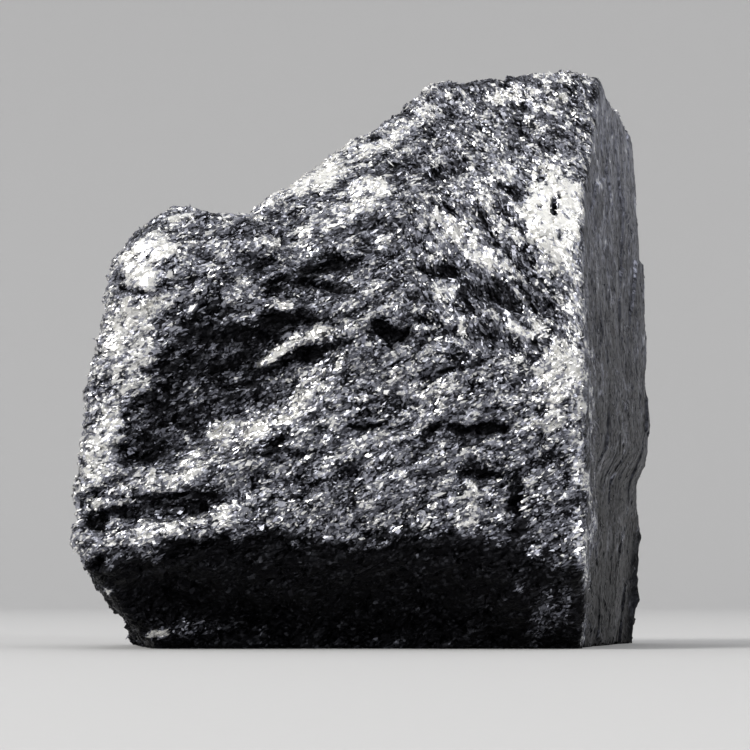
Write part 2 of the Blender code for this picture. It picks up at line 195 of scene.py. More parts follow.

# Patches of painted highlight (+) and painted shade (-), which are also raised (+) or carved hollow (-):
# right of the left side, height, half length, half width, tilt in degrees, strength
PAINTED_LIGHT_PATCHES = {
    # lobe at the upper left
    "lobe": (6.5, 35.3, 3.1, 2.0, 56.0, 1.00),
    "lobe_groove": (5.8, 32.8, 2.3, 0.35, -15.0, -0.55),
    "lobe_foot": (7.0, 31.2, 2.4, 1.2, 20.0, 0.42),
    "lobe_rim": (8.6, 39.0, 2.6, 0.7, 32.0, 0.34),
    "lobe_top": (12.0, 38.4, 5.0, 2.4, -5.0, 0.06),
    "lobe_back": (11.6, 35.2, 1.6, 1.2, 70.0, -0.12),
    "notch_spot": (18.2, 37.6, 1.2, 0.8, 8.0, 0.80),
    "notch_streak": (20.8, 39.1, 1.9, 0.6, 28.0, 0.32),
    # left edge
    "upper_left_edge": (5.5, 28.4, 4.8, 2.2, 84.0, 0.48),
    "left_edge_streaks": (5.2, 23.6, 3.4, 1.1, 42.0, 0.28),
    "lower_left_edge": (2.9, 18.6, 5.4, 1.6, 76.0, 0.42),
    "left_rim": (1.9, 22.0, 15.0, 2.0, 82.0, 0.20),
    "left_slit": (4.4, 26.6, 1.4, 0.3, 30.0, -0.40),
    # ridge that climbs to the crown
    "ridge": (27.3, 43.0, 2.2, 1.5, 8.0, 0.80),
    "ridge_foot": (22.3, 44.0, 2.6, 1.2, 22.0, 0.66),
    "ridge_slope": (26.4, 41.2, 3.4, 0.9, 6.0, 0.28),
    "ridge_gap": (24.5, 42.6, 1.1, 0.6, 0.0, -0.22),
    "ridge_line": (25.8, 47.0, 11.0, 1.5, 33.0, 0.34),
    "crown": (39.6, 53.3, 4.6, 1.2, 2.0, 0.42),
    # right edge
    "upper_right_edge": (44.6, 40.0, 5.6, 2.7, 88.0, 1.10),
    "middle_right_edge": (44.7, 25.6, 4.0, 1.8, 84.0, 0.58),
    "right_rim": (46.3, 24.0, 24.0, 0.7, 90.0, 0.27),
    "rim_pit": (44.5, 41.0, 0.8, 0.36, 90.0, -2.2),
    # upper face
    "slash": (35.6, 38.2, 4.6, 1.0, -50.0, 0.36),
    "slash_foot": (39.2, 35.8, 2.3, 1.2, -30.0, 0.40),
    "second_slash": (38.8, 40.8, 3.6, 0.6, -62.0, 0.28),
    "slash_slit": (34.8, 40.8, 1.5, 0.35, -48.0, -0.60),
    "second_slit": (38.2, 39.4, 1.6, 0.35, -64.0, -0.45),
    "upper_face": (38.4, 43.2, 7.4, 4.6, 20.0, 0.12),
    "upper_pocket": (34.8, 45.0, 2.4, 1.0, 12.0, -0.36),
    "upper_right_bump": (40.5, 37.9, 1.5, 1.6, 0.0, 0.46),
    "upper_swelling": (29.3, 37.8, 2.0, 1.0, 10.0, 0.28),
    # scoop, its ledge and the blade that stands in it
    "scoop": (12.2, 24.4, 10.5, 5.2, 38.0, -0.20),
    "scoop_top": (12.0, 28.8, 5.0, 1.1, 2.0, -0.26),
    "scoop_end": (18.4, 29.4, 3.4, 1.2, 4.0, -0.22),
    "scoop_corner": (7.2, 19.4, 3.0, 1.8, 45.0, -0.12),
    "blade": (18.7, 27.1, 3.0, 0.55, 31.0, 1.00),
    "blade_tip": (21.8, 29.1, 2.0, 0.55, 16.0, 0.70),
    "blade_shadow": (21.8, 27.3, 3.0, 0.8, 14.0, -0.50),
    "second_blade": (24.5, 26.5, 1.6, 0.40, 62.0, 0.55),
    "blade_end": (25.0, 29.4, 1.8, 1.0, 5.0, 0.26),
    "ledge": (16.6, 20.6, 8.6, 1.2, 26.0, 0.20),
    "ledge_left_lump": (13.3, 20.4, 1.7, 0.85, 36.0, 0.70),
    "ledge_lump": (16.9, 20.1, 1.5, 0.75, 16.0, 0.70),
    "ledge_small_lump": (19.7, 21.0, 1.1, 0.55, 22.0, 0.50),
    "ledge_upper_lump": (16.9, 22.1, 1.9, 0.5, 4.0, 0.34),
    "ledge_right_lump": (21.2, 22.7, 1.7, 0.8, 58.0, 0.52),
    "ledge_end": (22.9, 24.3, 1.4, 0.6, 34.0, 0.38),
    "ledge_gap": (18.8, 19.2, 1.1, 0.55, 10.0, -0.45),
    "ledge_split": (19.6, 18.0, 3.6, 0.40, 0.0, -0.40),
    "ledge_left_gap": (12.4, 18.4, 1.5, 0.5, 32.0, -0.26),
    # bands at the lower left
    "middle_ledge": (11.0, 16.9, 2.4, 1.2, 24.0, 0.34),
    "middle_lump": (7.3, 15.8, 1.1, 0.45, 84.0, 0.45),
    "middle_small_lump": (5.8, 15.5, 0.8, 0.35, 100.0, 0.30),
    "low_line": (8.6, 13.9, 6.6, 0.30, 1.0, -0.42),
    "low_groove": (7.6, 12.8, 5.0, 0.75, 6.0, -0.26),
    "low_lip": (5.0, 13.6, 1.3, 0.40, 6.0, 0.60),
    "low_left_lip": (2.4, 13.3, 1.6, 0.45, -14.0, 0.45),
    "low_pocket": (2.3, 11.8, 1.5, 0.9, 0.0, -0.45),
    "low_ledge": (6.0, 10.2, 5.0, 0.8, 8.0, 0.20),
    "low_lump": (10.5, 11.7, 1.6, 0.8, 26.0, 0.46),
    "low_right_lump": (14.1, 12.8, 1.4, 0.8, 30.0, 0.62),
    # splits and swellings of the middle
    "crack": (24.2, 35.4, 3.2, 0.75, 4.0, -0.60),
    "crack_start": (21.4, 35.2, 2.2, 0.9, 24.0, -0.34),
    "crack_foot": (19.8, 33.4, 3.2, 1.0, 14.0, -0.32),
    "crack_branch": (24.0, 33.4, 3.2, 0.35, -6.0, -0.42),
    "crack_lump": (26.2, 34.8, 1.2, 0.7, 30.0, 0.30),
    "crack_spot": (19.6, 31.5, 0.9, 0.6, 0.0, 0.50),
    "shoulder": (15.0, 31.1, 3.8, 0.8, 3.0, -0.20),
    "middle_crack": (28.9, 29.0, 1.6, 0.85, -30.0, -0.42),
    "middle_lip": (30.4, 27.6, 1.6, 0.4, -38.0, 0.34),
    "middle_swelling": (29.0, 25.4, 3.6, 2.2, 0.0, 0.16),
    "middle_split": (27.0, 20.4, 2.2, 0.3, 2.0, -0.36),
    "middle_right_lump": (32.0, 23.6, 1.7, 1.2, 20.0, 0.20),
    "middle_dip": (25.3, 16.6, 1.4, 0.7, -48.0, -0.26),
    "upper_dip": (33.8, 34.8, 2.2, 0.7, -14.0, -0.38),
    "upper_bump": (34.2, 32.8, 1.5, 0.7, 8.0, 0.36),
    "band_line": (31.9, 29.4, 1.8, 0.3, 2.0, 0.50),
    "band_line_shadow": (32.0, 30.2, 1.6, 0.35, 0.0, -0.20),
    # bands and pits at the right
    "right_band": (39.6, 32.3, 5.0, 1.4, -8.0, -0.20),
    "right_band_streak": (41.2, 32.5, 1.5, 0.32, -42.0, 0.70),
    "right_split": (38.2, 28.6, 3.0, 0.45, -3.0, -0.20),
    "right_lump": (40.9, 29.2, 1.8, 0.7, -40.0, 0.46),
    "right_edge_lump": (43.2, 29.4, 1.3, 1.0, 0.0, 0.30),
    "right_swelling": (40.4, 26.6, 2.0, 1.2, 0.0, 0.36),
    "lower_band": (36.9, 20.2, 3.4, 0.6, 2.0, -0.42),
    "lower_band_end": (32.7, 19.6, 0.8, 1.0, 0.0, -0.30),
    "pit_roof": (37.9, 15.9, 1.7, 0.5, -5.0, -0.50),
    "pit_wall": (40.8, 14.6, 2.1, 0.75, 84.0, -0.55),
    "pit_floor": (37.9, 13.2, 0.7, 0.45, 0.0, -0.50),
    "pit_lip": (36.6, 14.3, 1.3, 0.5, 100.0, 0.36),
    "pit_right_lip": (42.0, 15.2, 0.9, 0.4, 90.0, 0.36),
    "right_edge_swelling": (43.4, 21.2, 1.9, 1.6, 90.0, 0.30),
    "edge_grains": (42.6, 24.2, 1.6, 1.3, 90.0, 0.22),
    "pit_left_sheen": (34.6, 17.0, 1.8, 1.6, 0.0, 0.10),
    "right_hollow": (42.2, 17.6, 1.7, 0.6, 90.0, -0.16),
    "foot_hollow": (40.2, 11.0, 1.8, 0.9, 0.0, -0.24),
}

# Small painted glints and sheens on the painted shade of the foot, in the same measures
FOOT_GLINTS = {
    "heel": (3.0, 5.3, 0.45, 0.40, 0.0, 1.0),
    "left_toe": (7.3, 1.3, 1.0, 0.42, 4.0, 0.95),
    "left_sheen": (11.0, 2.0, 3.4, 1.0, 6.0, 0.26),
    "right_sheen": (44.0, 3.4, 3.2, 2.2, 60.0, 0.30),
    "right_glint": (41.0, 5.6, 0.40, 0.30, 0.0, 0.80),
    "upper_glint": (20.4, 9.6, 0.50, 0.30, 0.0, 0.55),
}

# Name, lowest and highest brightness, colour and roughness of each tone of flake
FLAKE_TONES = (
    ("dark_flakes", -9.0, 0.25, (0.020, 0.020, 0.024), 0.50),
    ("grey_flakes", 0.25, 0.50, (0.136, 0.140, 0.168), 0.42),
    ("silver_flakes", 0.50, 0.76, (0.320, 0.328, 0.374), 0.38),
    ("bright_flakes", 0.76, 9.0, (0.960, 0.950, 0.915), 0.34),
)

MOST_FLAKES = 33000  # of one tone, six triangles each

# Top of the painted shade on the foot: right of the left side, and height
FOOT_LINE = (
    (0.0, 7.8),
    (4.0, 8.3),
    (12.0, 10.3),
    (18.0, 11.2),
    (25.0, 11.4),
    (32.0, 11.3),
    (38.0, 11.2),
    (43.0, 9.3),
    (47.0, 7.4),
)


class SurfaceSettings(PropertyGroup):
    """Sizes of the broken surface."""

    grid: FloatProperty(
        name="Grid", description="Spacing of the mesh that the relief is put on", default=0.28 * MM,
        unit="LENGTH", precision=5)
    triangles: IntProperty(
        name="Triangles", description="Triangles of the finished surface", default=190000, min=20000)
    plate: FloatProperty(
        name="Plate", description="Length of the broken plates", default=3.4 * MM, unit="LENGTH", precision=5)
    leaf: FloatProperty(
        name="Leaf", description="Length of the small leaves on the plates", default=1.4 * MM, unit="LENGTH",
        precision=5)
    grain: FloatProperty(
        name="Grain", description="Size of the finest grains that stand out", default=0.6 * MM, unit="LENGTH",
        precision=5)


class FlakeSettings(PropertyGroup):
    """Sizes of the loose flakes."""

    length: FloatProperty(
        name="Length", description="Usual length of a flake", default=0.33 * MM, unit="LENGTH", precision=5)
    count: IntProperty(name="Count", description="Flakes on the whole lump", default=120000, min=100)


class ColourSettings(PropertyGroup):
    """Colours of the graphite."""

    # The darkest colour, which also carries the painted shade on the foot, on undersides and in hollows
    dull: FloatVectorProperty(
        name="Dull", description="Hollows and broken edges", subtype="COLOR", size=3, min=0.0, max=1.0,
        default=(0.006, 0.006, 0.007))
    grey: FloatVectorProperty(
        name="Grey", description="Most of the flakes", subtype="COLOR", size=3, min=0.0, max=1.0,
        default=(0.112, 0.115, 0.134))
    bright: FloatVectorProperty(
        name="Bright", description="Flakes that catch the light", subtype="COLOR", size=3, min=0.0, max=1.0,
        default=(0.96, 0.95, 0.915))


class StudioSettings(PropertyGroup):
    """The floor, the light and the camera."""

    floor_colour: FloatVectorProperty(
        name="Floor", description="Colour of the floor", subtype="COLOR", size=3, min=0.0, max=1.0,
        default=(0.51, 0.51, 0.515))
    flat: FloatProperty(name="Flat floor", description="Reach of the flat floor", default=0.9, unit="LENGTH")
    sweep: FloatProperty(
        name="Sweep", description="Radius of the sweep into the wall", default=0.9, unit="LENGTH")
    wall: FloatProperty(name="Wall", description="Height of the wall", default=1.3, unit="LENGTH")
    distance: FloatProperty(
        name="Distance", description="From the camera to the front of the lump", default=0.28, unit="LENGTH")
    height: FloatProperty(
        name="Height", description="Of the camera above the floor", default=0.005, unit="LENGTH", precision=4)
    lens: FloatProperty(name="Lens", description="Focal length in millimetres", default=147.8)


def lattice_random(cells, seed, count):
    """That many random numbers from 0 to 1 for each whole-number lattice cell, the same in each run."""
    whole = cells.astype(np.int64).astype(np.uint64) * np.array(AXIS_MIX, dtype=np.uint64)
    mixed = whole[:, 0] ^ whole[:, 1] ^ whole[:, 2] ^ np.uint64(seed * SEED_MIX + SEED_START)
    numbers = np.empty((len(cells), count))
    for index in range(count):
        mixed ^= mixed >> np.uint64(15)
        mixed *= np.uint64(BIT_MIX)
        mixed ^= mixed >> np.uint64(29)
        mixed *= np.uint64(LAST_MIX)
        numbers[:, index] = (mixed >> np.uint64(40)).astype(float) / 2**24
    return numbers


def smooth_noise(points, size, seed):
    """Soft noise from -1 to 1 with lumps of that size."""
    scaled = points / size
    base = np.floor(scaled)
    share = scaled - base
    share = share * share * (3.0 - 2.0 * share)
    total = np.zeros(len(points))
    for corner in itertools.product((0, 1), repeat=3):
        weight = np.prod(np.where(corner, share, 1.0 - share), axis=1)
        total += weight * lattice_random(base + corner, seed, 1)[:, 0]
    return total * 2.0 - 1.0


def soft(name, points):
    """The soft pattern of that name."""
    size, seed = SOFT_PATTERNS[name]
    return smooth_noise(points, size, seed)


def drawn(name, places):
    """The drawn-out pattern of that name."""
    squeeze, seed = DRAWN_PATTERNS[name]
    return smooth_noise(places * squeeze, 1.0, seed)


def broken_cells(points, size, seed):
    """Split space into irregular cells. Returns the random numbers of each point's cell, and in cell sizes
    the point's way from the cell's middle and how far it is from the cell's border."""
    scaled = points / size
    base = np.floor(scaled)
    nearest = np.full(len(points), np.inf)
    second = np.full(len(points), np.inf)
    owner = np.zeros_like(base)
    way = np.zeros_like(base)
    for step in itertools.product((-1, 0, 1), repeat=3):
        cell = base + step
        off = scaled - cell - lattice_random(cell, seed, 3)
        gap = np.einsum("ij,ij->i", off, off)
        closer = gap < nearest
        second = np.where(closer, nearest, np.minimum(second, gap))
        nearest = np.where(closer, gap, nearest)
        owner[closer] = cell[closer]
        way[closer] = off[closer]
    return lattice_random(owner, seed + 1, 4), way, np.sqrt(second) - np.sqrt(nearest)


def smooth_step(none, full, value):
    """0 up to none, 1 from full on, and smooth between them. full may be the lower of the two."""
    share = np.clip((value - none) / (full - none), 0.0, 1.0)
    return share * share * (3.0 - 2.0 * share)


def along_layers(points, tilt):
    """The points turned so that the first axis runs along the layers and the last one through them."""
    along = points[:, 0] * math.cos(tilt) + points[:, 2] * math.sin(tilt)
    through = points[:, 2] * math.cos(tilt) - points[:, 0] * math.sin(tilt) + LAYER_DIP * points[:, 1]
    return np.stack((along, points[:, 1], through), axis=1)


def plate_relief(flow, size, height, lean, seed):
    """Height of flat plates of that size, each at its own level and lean, with a crease round each one."""
    numbers, way, border = broken_cells(flow, size, seed)
    level = (numbers[:, 0] - 0.5) * 2.0 * height
    slope = ((numbers[:, 1:] - 0.5) * way * size).sum(axis=1) * lean
    crease = height * CREASE_DEPTH * np.exp(-border / CREASE_WIDTH)
    return level + slope - crease


def streak_share(points):
    """1 where the steep streaks of the upper right run, 0 where the layers rise to the right."""
    across = points[:, 0] - LEFT_SIDE + STREAK_EDGE_WANDER * soft("streak edge", points)
    return smooth_step(*STREAKS_RIGHT, across) * smooth_step(*STREAKS_UP, points[:, 2])


def slab_relief(points):
    """Height of the broad, shallow slabs of the smooth break, with steep scratches down them."""
    numbers, way, _ = broken_cells(points, np.array(SLAB_SIZE), SLAB_SEED)
    leaning = ((numbers[:, 1:] - 0.5) * way * (0.0, *SLAB_SIZE[1:])).sum(axis=1)
    slabs = SLAB_HEIGHT * (numbers[:, 0] - 0.5) + SLAB_LEAN * leaning
    return slabs + SCRATCH_HEIGHT * drawn("scratches", points)


def ledge_relief(flow, pitch, height, seed):
    """Height of the broken edges of the layers, like a worn flight of steps."""
    turns = flow[:, 2] / pitch + LEDGE_UNEVEN * smooth_noise(flow * LEDGE_SQUEEZE, 1.0, seed)
    share = turns - np.floor(turns)
    step = np.where(share < LEDGE_RISE, share / LEDGE_RISE, (1.0 - share) / LEDGE_DROP)
    bold = smooth_step(-0.25, 0.45, smooth_noise(flow * LEDGE_REACH_SQUEEZE, 1.0, seed + 1))
    return (step - 0.5) * height * bold


def split_lines(flow):
    """1 along the thin splits that follow the layers."""
    thin = np.abs(drawn("splits", flow)) / SPLIT_WIDTH
    there = smooth_step(-0.05, 0.25, drawn("split reach", flow))
    return (1.0 - smooth_step(0.3, 1.0, thin)) * there


def layer_flow(points):
    """Places measured along and through the layers, which wander a little."""
    wander = [smooth_noise(points, LAYER_WANDER_LUMP, WANDER_SEED + axis) for axis in range(3)]
    wander = np.stack(wander, axis=1) * LAYER_WANDER
    rising = along_layers(points + wander, LAYER_TILT)
    falling = along_layers(points + wander, STREAK_TILT)
    return np.where(streak_share(points)[:, None] > 0.5, falling, rising)


def layered_relief(flow, streaks, settings):
    """Height of the ledges, plates, leaves and grains at each point, in millimetres."""
    total = -SPLIT_DEPTH * split_lines(flow)
    for length, kind in ((settings.plate, PLATES), (settings.leaf, LEAVES), (settings.grain, GRAINS)):
        total += plate_relief(flow, np.array(PLATE_SHAPE) * (length / MM), *kind)
    total += ledge_relief(flow, *FINE_LEDGES)
    return total + ledge_relief(flow, *BOLD_LEDGES) * (1.0 - 0.55 * streaks)


def streaky_wear_and_split_shade(flow):
    """Bands along the layers of brighter or duller wear, and painted shade along the splits."""
    return 0.13 * drawn("broad wear", flow) + 0.16 * drawn("fine wear", flow) - 0.35 * split_lines(flow)


def patch_strength(points, patches):
    """How much painted highlight (+) or painted shade (-) the named patches put on each point."""
    total = np.zeros(len(points))
    ragged = 1.0 + 0.30 * soft("patch edge", points) + 0.26 * soft("fine patch edge", points)
    for right, height, half_length, half_width, tilt, strength in patches.values():
        across = points[:, 0] - LEFT_SIDE - right
        up = points[:, 2] - height
        turn = math.radians(tilt)
        along = (across * math.cos(turn) + up * math.sin(turn)) / half_length
        aside = (up * math.cos(turn) - across * math.sin(turn)) / half_width
        reach = np.sqrt(along**2 + aside**2) * ragged
        total += strength * (1.0 - smooth_step(0.70, 1.06, reach))
    return total


def wild_patches(flow):
    """Lips with painted highlight (+) and hollows with painted shade (-) that follow the layers, where no
    patch is named.
    """
    hollow = smooth_step(0.22, 0.52, drawn("hollows", flow))
    lip = smooth_step(0.28, 0.58, drawn("lips", flow))
    return 0.46 * lip * (1.0 - hollow) - 0.42 * hollow


def painted_light_patches(points, facing, flow):
    """Painted highlight (+) and painted shade (-): the named patches on the front, and wild ones on the
    sides, top and back.
    """
    deep = points[:, 1] - FRONT
    there = smooth_step(0.55, 0.15, facing[:, 1]) * smooth_step(27.0, 17.0, deep)
    left_side = smooth_step(0.72, 0.92, -facing[:, 0])
    there *= 1.0 - 0.75 * left_side * smooth_step(7.0, 13.0, deep)
    there *= 1.0 - 0.60 * smooth_step(12.0, 18.0, deep)
    specks = smooth_step(0.34, 0.56, soft("specks", points))
    named = patch_strength(points, PAINTED_LIGHT_PATCHES)
    named = np.where(named > 0.0, named * (1.0 - 0.75 * specks), named)
    return named * there + wild_patches(flow) * (1.0 - there) * (1.0 - calm_side(points, facing))


def copied_lump(settings):
    """A finer, evenly meshed copy of the solid lump."""
    lump = bpy.data.objects.new(SURFACE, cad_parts[LUMP].data.copy())
    bpy.context.scene.collection.objects.link(lump)
    lump.data.materials.clear()
    remesh = lump.modifiers.new("even mesh", "REMESH")
    remesh.mode = "VOXEL"
    remesh.voxel_size = settings.grid
    wear = lump.modifiers.new("wear", "SMOOTH")
    wear.iterations = MESH_SMOOTHINGS
    apply_modifiers(lump)
    return lump


def apply_modifiers(obj):
    """Replace the object's mesh with what its modifiers make of it."""
    evaluated = obj.evaluated_get(bpy.context.evaluated_depsgraph_get())
    finished = bpy.data.meshes.new_from_object(evaluated)
    obj.modifiers.clear()
    obj.data = finished


def read_vectors(items, name):
    """The vectors of a mesh's points as an array."""
    values = np.empty(len(items) * 3)
    items.foreach_get(name, values)
    return values.reshape(-1, 3)


def low_behind(points):
    """1 low down and well behind the front."""
    return smooth_step(14.0, 20.0, points[:, 1] - FRONT) * smooth_step(24.0, 16.0, points[:, 2])


def painted_foot_shade(points, facing):
    """1 on the undercut foot of the front and left, where shade is painted almost black into the colour."""
    across, height = np.array(FOOT_LINE).T
    line = np.interp(points[:, 0] - LEFT_SIDE, across, height)
    line += 1.2 * soft("foot edge", points) + 1.1 * soft("fine foot edge", points)
    below = smooth_step(-0.3, 1.5, line - points[:, 2])
    left_side = smooth_step(0.55, 0.90, -facing[:, 0])
    right_side = smooth_step(0.0, 0.4, facing[:, 0])
    forward = smooth_step(0.30, -0.10, facing[:, 1])
    off_the_break = smooth_step(0.85, 0.6, facing[:, 0])
    below *= 1.0 - 0.30 * left_side
    below *= 1.0 - low_behind(points) * right_side
    return below * forward * off_the_break


def bright_with_painted_light(points, facing, flow, relief, patches):
    """How bright the graphite is at each point, from 0 to 1: its own tone, painted highlights and painted
    shade in the patches, painted light on faces turned upwards, painted shade on undersides and the foot, and
    painted glints there.
    """
    calm = calm_side(points, facing)
    raised = np.clip(relief / RAISED_HEIGHT, -1.0, 1.0)
    gleam = MIDDLE_GLEAM + RAISED_GLEAM * raised + streaky_wear_and_split_shade(flow)
    # Painted light on faces turned upwards
    gleam += CLOUD_GLEAM * soft("clouds", points) + UPWARD_PAINTED_LIGHT * facing[:, 2]
    gleam += patches
    above_the_foot = smooth_step(4.0, 9.0, points[:, 2])
    flecks = smooth_step(0.30, 0.62, soft("flecks", points)) * above_the_foot
    gleam += (FLECK_GLEAM + STREAK_FLECK_GLEAM * streak_share(points)) * flecks
    gleam = gleam * (1.0 - calm) + mottled_break(points, gleam) * calm
    gleam += SPILLED_GLEAM * spilled_grains(points) * smooth_step(0.55, 0.85, facing[:, 0])
    # Painted shade on faces turned downwards and on the undercut foot, with painted glints on the foot
    underside = smooth_step(0.45, 0.85, -facing[:, 2])
    foot = painted_foot_shade(points, facing)
    gleam = gleam * (1.0 - UNDERSIDE_PAINTED_SHADE * underside) * (1.0 - FOOT_PAINTED_SHADE * foot)
    gleam += patch_strength(points, FOOT_GLINTS) * foot
    return np.clip(gleam, 0.0, 1.0)


def mottled_break(points, gleam):
    """How bright the smooth break is: faint clouds, drips and grit, and darker low down."""
    drips = np.maximum(drawn("drips", points), 0.0)
    grit = soft("grit", points) + 0.8 * soft("fine grit", points) + 0.6 * soft("grit clouds", points)
    clouds = 0.04 * soft("smooth clouds", points)
    mottled = SMOOTH_GLEAM + 0.06 * (gleam - 0.48) + clouds + DRIP_GLEAM * drips
    mottled += GRIT_GLEAM * smooth_step(0.35, 1.10, grit) + SMOOTH_GLEAM_UP * points[:, 2]
    return mottled


def spilled_grains(points):
    """1 on the grains that spill over the right-hand corner, more of them low down."""
    by_corner = smooth_step(2.6, 0.3, points[:, 0] - LEFT_SIDE - CORNER)
    low_down = smooth_step(46.0, 20.0, points[:, 2])
    return by_corner * low_down * smooth_step(-0.05, 0.30, soft("spilled grains", points))


def calm_side(points, facing):
    """1 on the smooth break along the right-hand side, which runs round its rear corner low down."""
    ragged = 0.10 * soft("smooth edge", points) + 0.05 * soft("fine smooth edge", points)
    behind = low_behind(points)
    calm = smooth_step(0.55, 0.85, facing[:, 0] + ragged + 0.25 * behind)
    calm *= smooth_step(-0.60, -0.30, facing[:, 1] - ragged + 0.40 * behind)
    return calm * (1.0 - 0.75 * spilled_grains(points))


def put_on_relief(lump, settings):
    """Move the points by the relief, and note on each how bright the graphite is there, with its painted
    highlights and painted shade.
    """
    mesh = lump.data
    points = read_vectors(mesh.vertices, "co") / MM
    facing = read_vectors(mesh.vertices, "normal")
    flow = layer_flow(points)
    corner = smooth_step(2.2, 0.5, np.abs(points[:, 0] - LEFT_SIDE - CORNER))
    corner *= smooth_step(12.0, 6.0, points[:, 1] - FRONT)
    patches = painted_light_patches(points, facing, flow)
    polish_and_highlight = smooth_step(0.60, 1.20, patches)
    calm = calm_side(points, facing)
    relief = layered_relief(flow, streak_share(points), settings) * (1.0 - 0.80 * calm)
    relief += slab_relief(points) * calm
    relief *= (1.0 - 0.7 * corner) * (1.0 - 0.5 * polish_and_highlight)
    carved = np.clip(patches, DEEPEST_PATCH, 0.0) * HOLLOW_DEPTH + np.clip(patches, 0.0, 1.0) * LIP_HEIGHT
    base = smooth_step(0.9, 0.98, -facing[:, 2]) * smooth_step(-0.6, -0.1, -points[:, 2])
    height = (relief + carved * (1.0 - corner) - SKIN_DEPTH) * (1.0 - base)
    moved = points + facing * height[:, None]
    moved[:, 2] = np.maximum(moved[:, 2], 0.0)
    mesh.vertices.foreach_set("co", (moved * MM).ravel())
    note(mesh, "gleam", bright_with_painted_light(points, facing, flow, relief, patches))
    note(mesh, "polish_and_highlight", polish_and_highlight)
    note(mesh, "streaks", streak_share(points))
    note(mesh, "calm", calm)
    mesh.update()


def note(mesh, name, values):
    """Note a number on each point of the mesh."""
    mesh.attributes.new(name, "FLOAT", "POINT").data.foreach_set("value", values.astype(np.float32))


def noted(mesh, name):
    """The numbers noted on the mesh's points."""
    values = np.empty(len(mesh.vertices), dtype=np.float32)
    mesh.attributes[name].data.foreach_get("value", values)
    return values.astype(float)


def thin_out(lump, triangles):
    """Take triangles away where the surface is plainest."""
    faces = sum(len(face.vertices) - 2 for face in lump.data.polygons)
    if faces > triangles:
        decimate = lump.modifiers.new("thin out", "DECIMATE")
        decimate.ratio = triangles / faces
        apply_modifiers(lump)
        for vertex in lump.data.vertices:
            vertex.co.z = max(vertex.co.z, 0.0)


def turned(vectors, axes, angles):
    """The vectors turned about their own unit axes."""
    cosine = np.cos(angles)[:, None]
    along = (vectors * axes).sum(axis=1, keepdims=True)
    aside = np.cross(axes, vectors) * np.sin(angles)[:, None]
    return vectors * cosine + aside + axes * along * (1.0 - cosine)


def unit(vectors):
    """The vectors at length one."""
    return vectors / np.maximum(np.linalg.norm(vectors, axis=1, keepdims=True), 1e-9)


def scattered(mesh, count, rng):
    """Random places on the mesh: points in millimetres, facing and the noted numbers."""
    mesh.calc_loop_triangles()
    corners = np.empty(len(mesh.loop_triangles) * 3, dtype=np.int32)
    mesh.loop_triangles.foreach_get("vertices", corners)
    corners = corners.reshape(-1, 3)
    points = read_vectors(mesh.vertices, "co") / MM
    facing = read_vectors(mesh.vertices, "normal")
    first, second, third = (points[corners[:, k]] for k in range(3))
    area = np.linalg.norm(np.cross(second - first, third - first), axis=1) / 2.0
    calm = noted(mesh, "calm")[corners].mean(axis=1)
    flat = np.abs(facing[corners].mean(axis=1)[:, 2]) > RESTING_FACING
    rests = (first[:, 2] < RESTING_HEIGHT) & flat
    gleam = noted(mesh, "gleam")[corners].mean(axis=1)
    dense = (0.10 + 0.90 * smooth_step(0.05, 0.40, gleam)) * (1.0 - 0.93 * calm)
    dense *= 1.0 - 0.45 * noted(mesh, "polish_and_highlight")[corners].mean(axis=1)
    weight = np.cumsum(area * dense * np.where(rests, 0.0, 1.0))
    picked = np.searchsorted(weight, rng.random(count) * weight[-1])
    share = rng.random((count, 2))
    share = np.where(share.sum(axis=1, keepdims=True) > 1.0, 1.0 - share, share)
    weights = np.column_stack((1.0 - share.sum(axis=1), share))
    corners = corners[picked]

    def blend(values):
        return np.einsum("ij,ijk->ik", weights, values[corners])

    notes = np.column_stack([noted(mesh, name) for name in ("gleam", "streaks", "calm", "polish_and_highlight")])
    return blend(points), unit(blend(facing)), blend(notes)


def flake_shapes(places, facing, notes, settings, rng):
    """Corner points of four-sided flakes, each with the buried point that it narrows to."""
    count = len(places)
    calm = np.maximum(notes[:, 2], notes[:, 3])
    needle = rng.random(count) < NEEDLE_SHARE
    falling = rng.random(count) < notes[:, 1]
    tilt = np.where(falling, STREAK_TILT, LAYER_TILT)
    through = np.column_stack((-np.sin(tilt), np.full(count, LAYER_DIP), np.cos(tilt)))
    along = unit(np.cross(through, facing) + 0.02)
    swing = rng.normal(0.0, 1.0, count) * np.where(needle, NEEDLE_SWING, LEAF_SWING)
    along = unit(turned(along, facing, swing))
    lean = rng.normal(0.0, FLAKE_LEAN, count) * (1.0 - 0.80 * calm)
    side = rng.random(count) * math.tau
    axis = turned(along, facing, side)
    along = turned(along, axis, lean)
    out = turned(facing, axis, lean)
    across = np.cross(out, along)
    length = settings.length / MM * np.exp(np.clip(rng.normal(0.0, 0.45, count), -1.0, 1.1)) / 2.0
    length *= (1.0 - 0.30 * notes[:, 2]) * np.where(needle, NEEDLE_LENGTH, 1.0)
    width = length * (0.32 + 0.45 * rng.random(count)) * np.where(needle, NEEDLE_WIDTH, 1.0)
    corners = []
    for corner in range(4):
        angle = math.tau * (corner + rng.uniform(-0.32, 0.32, count)) / 4
        reach = rng.uniform(0.75, 1.15, count)
        corners.append(
            places
            + along * (np.cos(angle) * length * reach)[:, None]
            + across * (np.sin(angle) * width * reach)[:, None]
            + out * FLAKE_PROUD
        )
    corners.append(places - facing * (FLAKE_ROOT + 0.55 * width)[:, None])
    shapes = np.stack(corners, axis=1)
    shapes[:, :, 2] = np.maximum(shapes[:, :, 2], LOWEST_FLAKE)
    return shapes


